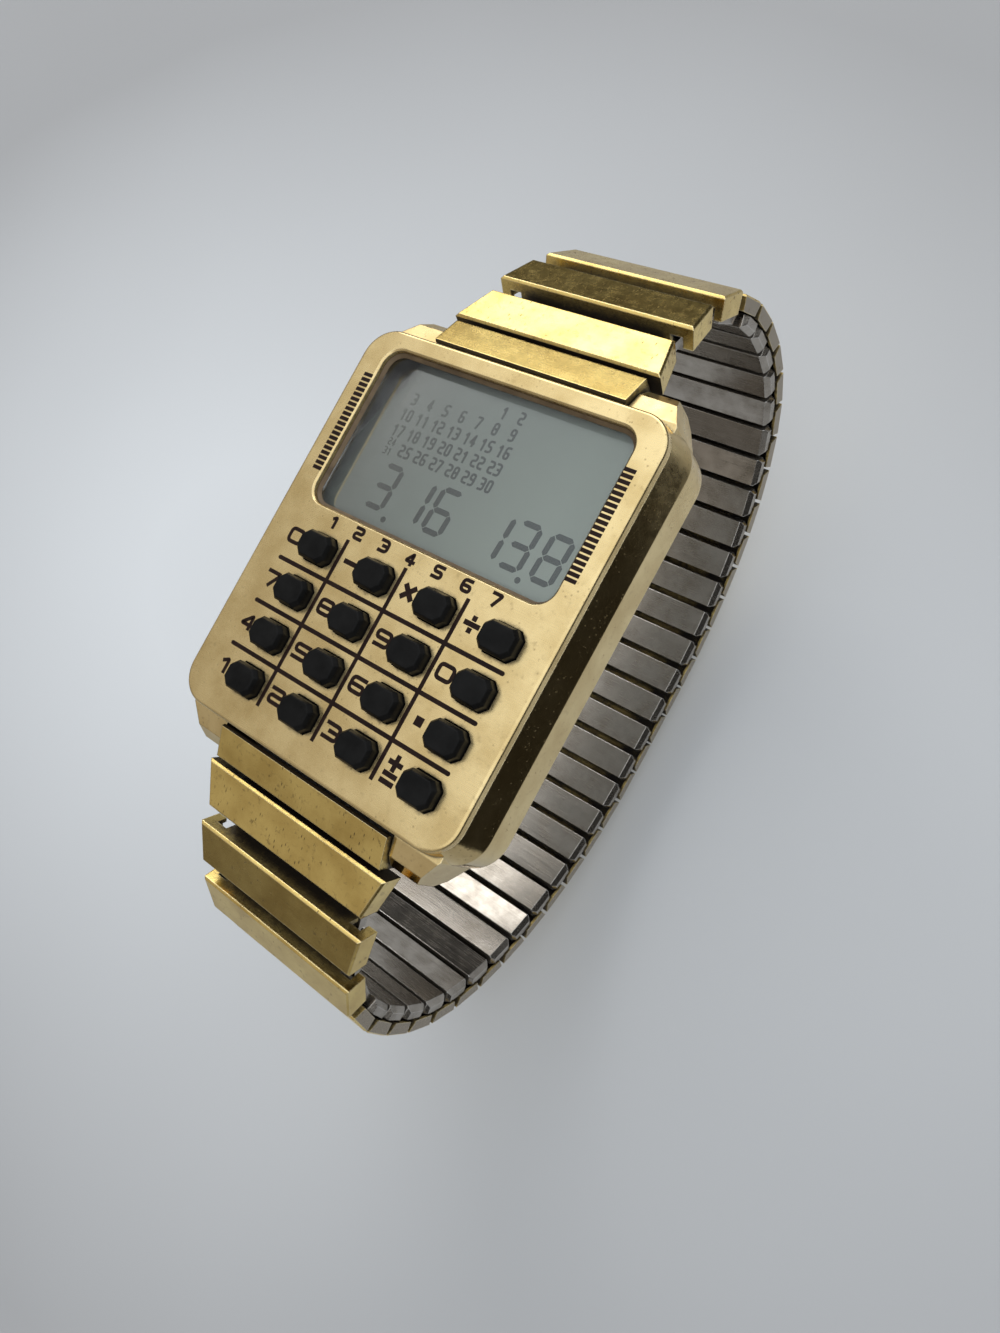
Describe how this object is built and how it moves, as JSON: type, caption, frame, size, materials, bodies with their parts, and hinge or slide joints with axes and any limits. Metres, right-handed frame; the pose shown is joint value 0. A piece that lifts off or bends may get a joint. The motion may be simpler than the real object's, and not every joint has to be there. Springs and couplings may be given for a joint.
{
  "type": "calculator watch",
  "caption": "Metal calculator wristwatch: rectangular case with a display window and sprung keys, on an expanding band of folded caps that closes into a loop.",
  "frame": {"origin": "middle of the footprint, on the plane that the back of the band stands on", "axes": "+Z is the way the face looks, +Y points to twelve o'clock, +X to three o'clock"},
  "size_m": [0.033, 0.0768, 0.0482],
  "materials": {
    "gold_plate": "brushed",
    "gold_case": "polished",
    "steel_back": "brushed",
    "bright_steel": "polished",
    "rubber": "matte",
    "window": "clear",
    "lcd": "matte",
    "foil": "matte",
    "black_plastic": "matte",
    "board": "satin",
    "buzzer": "satin",
    "gold_caps": "satin",
    "steel": "satin",
    "key": "gloss"
  },
  "bodies": {
    "case": {"face_plate": "gold_plate", "case_body": "gold_case", "case_back": "steel_back", "case_back_screws": "bright_steel", "back_gasket": "rubber", "key_mat": "rubber", "display_glass": "window", "lcd_panel": "lcd", "lcd_reflector": "foil", "display_holder": "black_plastic", "zebra_strips": "rubber", "circuit_board": "board", "driver_chip": "black_plastic", "quartz_crystal": "bright_steel", "trimmer": "buzzer", "button_cells": "bright_steel", "cell_strap": "bright_steel", "module_frame": "black_plastic", "module_screws": "bright_steel", "buzzer": "buzzer", "spring_bars": "bright_steel", "wide_caps_near_case": "gold_caps", "plate_links_near_case": "steel", "end_piece_12": "gold_caps", "end_piece_6": "gold_caps"},
    "key_clear": {"key_clear": "key"},
    "key_minus": {"key_minus": "key"},
    "key_times": {"key_times": "key"},
    "key_divide": {"key_divide": "key"},
    "key_7": {"key_7": "key"},
    "key_8": {"key_8": "key"},
    "key_9": {"key_9": "key"},
    "key_0": {"key_0": "key"},
    "key_4": {"key_4": "key"},
    "key_5": {"key_5": "key"},
    "key_6": {"key_6": "key"},
    "key_point": {"key_point": "key"},
    "key_1": {"key_1": "key"},
    "key_2": {"key_2": "key"},
    "key_3": {"key_3": "key"},
    "key_equals": {"key_equals": "key"},
    "wide_link_3_12": {"wide_cap_3_12": "gold_caps", "plate_link_3_12": "steel"},
    "band_upper_12": {"outer_caps_upper_12": "gold_caps", "inner_links_upper_12": "steel"},
    "band_lower_12": {"outer_caps_lower_12": "gold_caps", "inner_links_lower_12": "steel"},
    "wide_link_3_6": {"wide_cap_3_6": "gold_caps", "plate_link_3_6": "steel"},
    "band_upper_6": {"outer_caps_upper_6": "gold_caps", "inner_links_upper_6": "steel"},
    "band_lower_6": {"outer_caps_lower_6": "gold_caps", "inner_links_lower_6": "steel"},
    "band_back": {"outer_caps_back": "gold_caps", "inner_links_back": "steel"}
  },
  "joints": [
    {"name": "key_clear_press", "type": "slide", "parent": "case", "child": "key_clear", "axis": [0, 0, -1], "range_m": [0, 0.0005], "stiffness_N_per_m": 300, "springref_m": -0.0006},
    {"name": "key_minus_press", "type": "slide", "parent": "case", "child": "key_minus", "axis": [0, 0, -1], "range_m": [0, 0.0005], "stiffness_N_per_m": 300, "springref_m": -0.0006},
    {"name": "key_times_press", "type": "slide", "parent": "case", "child": "key_times", "axis": [0, 0, -1], "range_m": [0, 0.0005], "stiffness_N_per_m": 300, "springref_m": -0.0006},
    {"name": "key_divide_press", "type": "slide", "parent": "case", "child": "key_divide", "axis": [0, 0, -1], "range_m": [0, 0.0005], "stiffness_N_per_m": 300, "springref_m": -0.0006},
    {"name": "key_7_press", "type": "slide", "parent": "case", "child": "key_7", "axis": [0, 0, -1], "range_m": [0, 0.0005], "stiffness_N_per_m": 300, "springref_m": -0.0006},
    {"name": "key_8_press", "type": "slide", "parent": "case", "child": "key_8", "axis": [0, 0, -1], "range_m": [0, 0.0005], "stiffness_N_per_m": 300, "springref_m": -0.0006},
    {"name": "key_9_press", "type": "slide", "parent": "case", "child": "key_9", "axis": [0, 0, -1], "range_m": [0, 0.0005], "stiffness_N_per_m": 300, "springref_m": -0.0006},
    {"name": "key_0_press", "type": "slide", "parent": "case", "child": "key_0", "axis": [0, 0, -1], "range_m": [0, 0.0005], "stiffness_N_per_m": 300, "springref_m": -0.0006},
    {"name": "key_4_press", "type": "slide", "parent": "case", "child": "key_4", "axis": [0, 0, -1], "range_m": [0, 0.0005], "stiffness_N_per_m": 300, "springref_m": -0.0006},
    {"name": "key_5_press", "type": "slide", "parent": "case", "child": "key_5", "axis": [0, 0, -1], "range_m": [0, 0.0005], "stiffness_N_per_m": 300, "springref_m": -0.0006},
    {"name": "key_6_press", "type": "slide", "parent": "case", "child": "key_6", "axis": [0, 0, -1], "range_m": [0, 0.0005], "stiffness_N_per_m": 300, "springref_m": -0.0006},
    {"name": "key_point_press", "type": "slide", "parent": "case", "child": "key_point", "axis": [0, 0, -1], "range_m": [0, 0.0005], "stiffness_N_per_m": 300, "springref_m": -0.0006},
    {"name": "key_1_press", "type": "slide", "parent": "case", "child": "key_1", "axis": [0, 0, -1], "range_m": [0, 0.0005], "stiffness_N_per_m": 300, "springref_m": -0.0006},
    {"name": "key_2_press", "type": "slide", "parent": "case", "child": "key_2", "axis": [0, 0, -1], "range_m": [0, 0.0005], "stiffness_N_per_m": 300, "springref_m": -0.0006},
    {"name": "key_3_press", "type": "slide", "parent": "case", "child": "key_3", "axis": [0, 0, -1], "range_m": [0, 0.0005], "stiffness_N_per_m": 300, "springref_m": -0.0006},
    {"name": "key_equals_press", "type": "slide", "parent": "case", "child": "key_equals", "axis": [0, 0, -1], "range_m": [0, 0.0005], "stiffness_N_per_m": 300, "springref_m": -0.0006},
    {"name": "band_stretch", "type": "slide", "parent": "case", "child": "wide_link_3_12", "axis": [0, 0.7754, -0.6315], "range_m": [0, 0.0012], "stiffness_N_per_m": 250, "springref_m": -0.004},
    {"name": "gap_3_upper_12", "type": "slide", "parent": "wide_link_3_12", "child": "band_upper_12", "axis": [0, 0.5362, -0.8441], "range_m": [0, 0.0007805]},
    {"name": "gap_upper_lower_12", "type": "slide", "parent": "band_upper_12", "child": "band_lower_12", "axis": [0, -0.2691, -0.9631], "range_m": [0, 0.00132]},
    {"name": "gap_lower_back_12", "type": "slide", "parent": "band_lower_12", "child": "band_back", "axis": [0, -0.7448, -0.6673], "range_m": [0, 0.00133]},
    {"name": "gap_2_3_6", "type": "slide", "parent": "case", "child": "wide_link_3_6", "axis": [0, -0.7754, -0.6315], "range_m": [0, 0.0012]},
    {"name": "gap_3_upper_6", "type": "slide", "parent": "wide_link_3_6", "child": "band_upper_6", "axis": [0, -0.5362, -0.8441], "range_m": [0, 0.0007805]},
    {"name": "gap_upper_lower_6", "type": "slide", "parent": "band_upper_6", "child": "band_lower_6", "axis": [0, 0.2691, -0.9631], "range_m": [0, 0.00132]}
  ],
  "couplings": [
    {"joint": "gap_3_upper_12", "follows": "band_stretch", "ratio": 0.65},
    {"joint": "gap_upper_lower_12", "follows": "band_stretch", "ratio": 1.1},
    {"joint": "gap_lower_back_12", "follows": "band_stretch", "ratio": 1.1117},
    {"joint": "gap_2_3_6", "follows": "band_stretch", "ratio": 1},
    {"joint": "gap_3_upper_6", "follows": "band_stretch", "ratio": 0.65},
    {"joint": "gap_upper_lower_6", "follows": "band_stretch", "ratio": 1.1}
  ]
}
